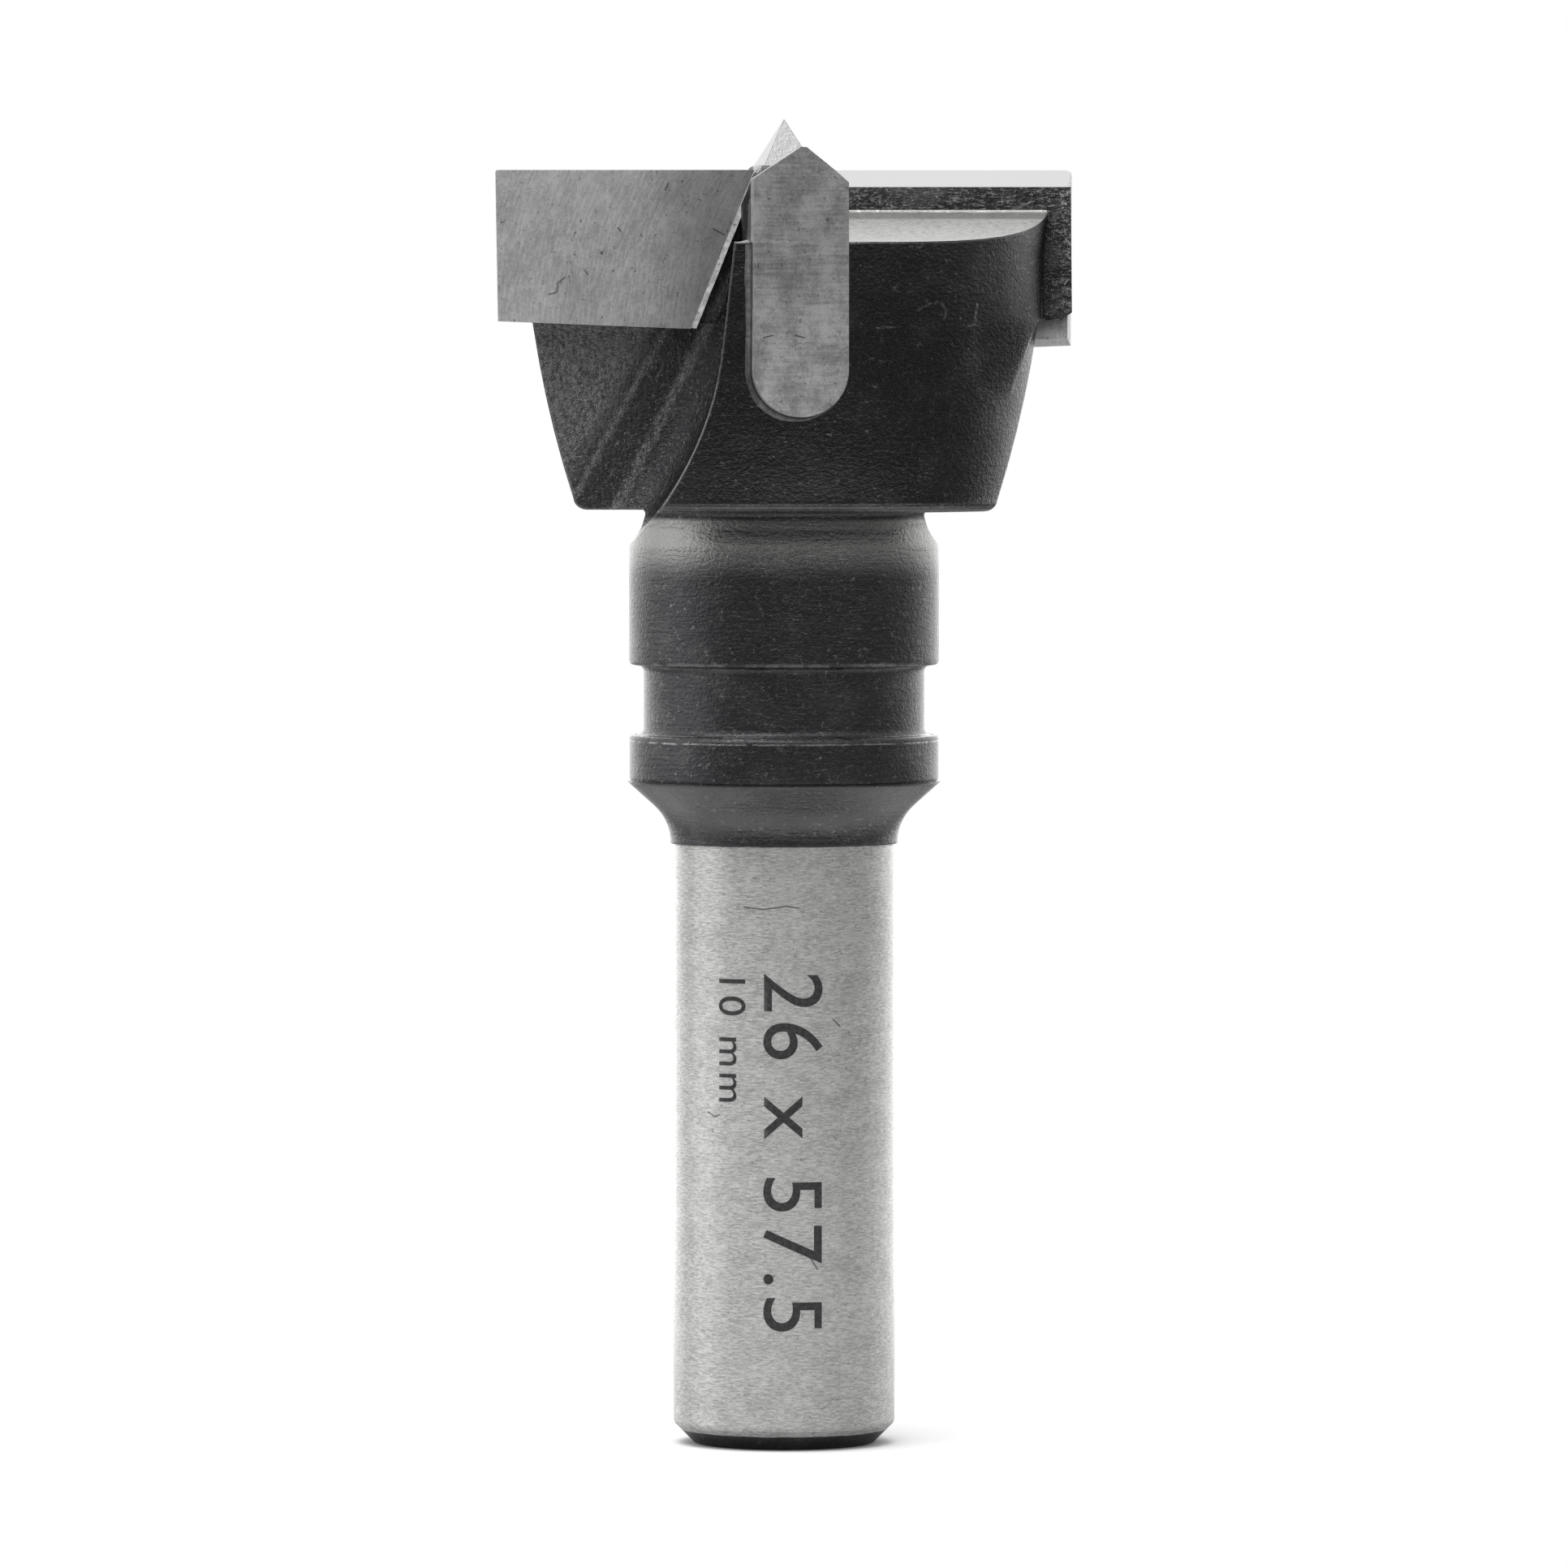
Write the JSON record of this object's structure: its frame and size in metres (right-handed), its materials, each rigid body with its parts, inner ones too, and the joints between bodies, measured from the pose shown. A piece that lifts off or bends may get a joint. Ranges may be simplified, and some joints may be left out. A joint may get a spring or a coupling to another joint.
{
  "type": "boring drill bit",
  "caption": "Carbide-tipped boring bit with a plain cylindrical shank, a necked steel body, opposed cutting plates, edge spurs and a centre point.",
  "frame": {"origin": "centre of the shank's end face", "axes": "+Z along the bit's axis towards the tip; X along the cutting edges, left plate at -X with its rake face towards -Y; the front spur is at -Y; the clamping flat is at +Y"},
  "size_m": [0.026, 0.0258, 0.0598],
  "materials": {
    "black_steel": "black oxide coat on the head and neck, ground bright on the shank",
    "carbide_plate": "ground carbide",
    "carbide_spur": "ground carbide, fine level lines",
    "carbide_point": "bright ground carbide"
  },
  "bodies": {
    "root": {"body": "black_steel", "cutting_plate_left": "carbide_plate", "cutting_plate_right": "carbide_plate", "spur_front": "carbide_spur", "spur_rear": "carbide_spur", "centre_point": "carbide_point"}
  },
  "joints": []
}
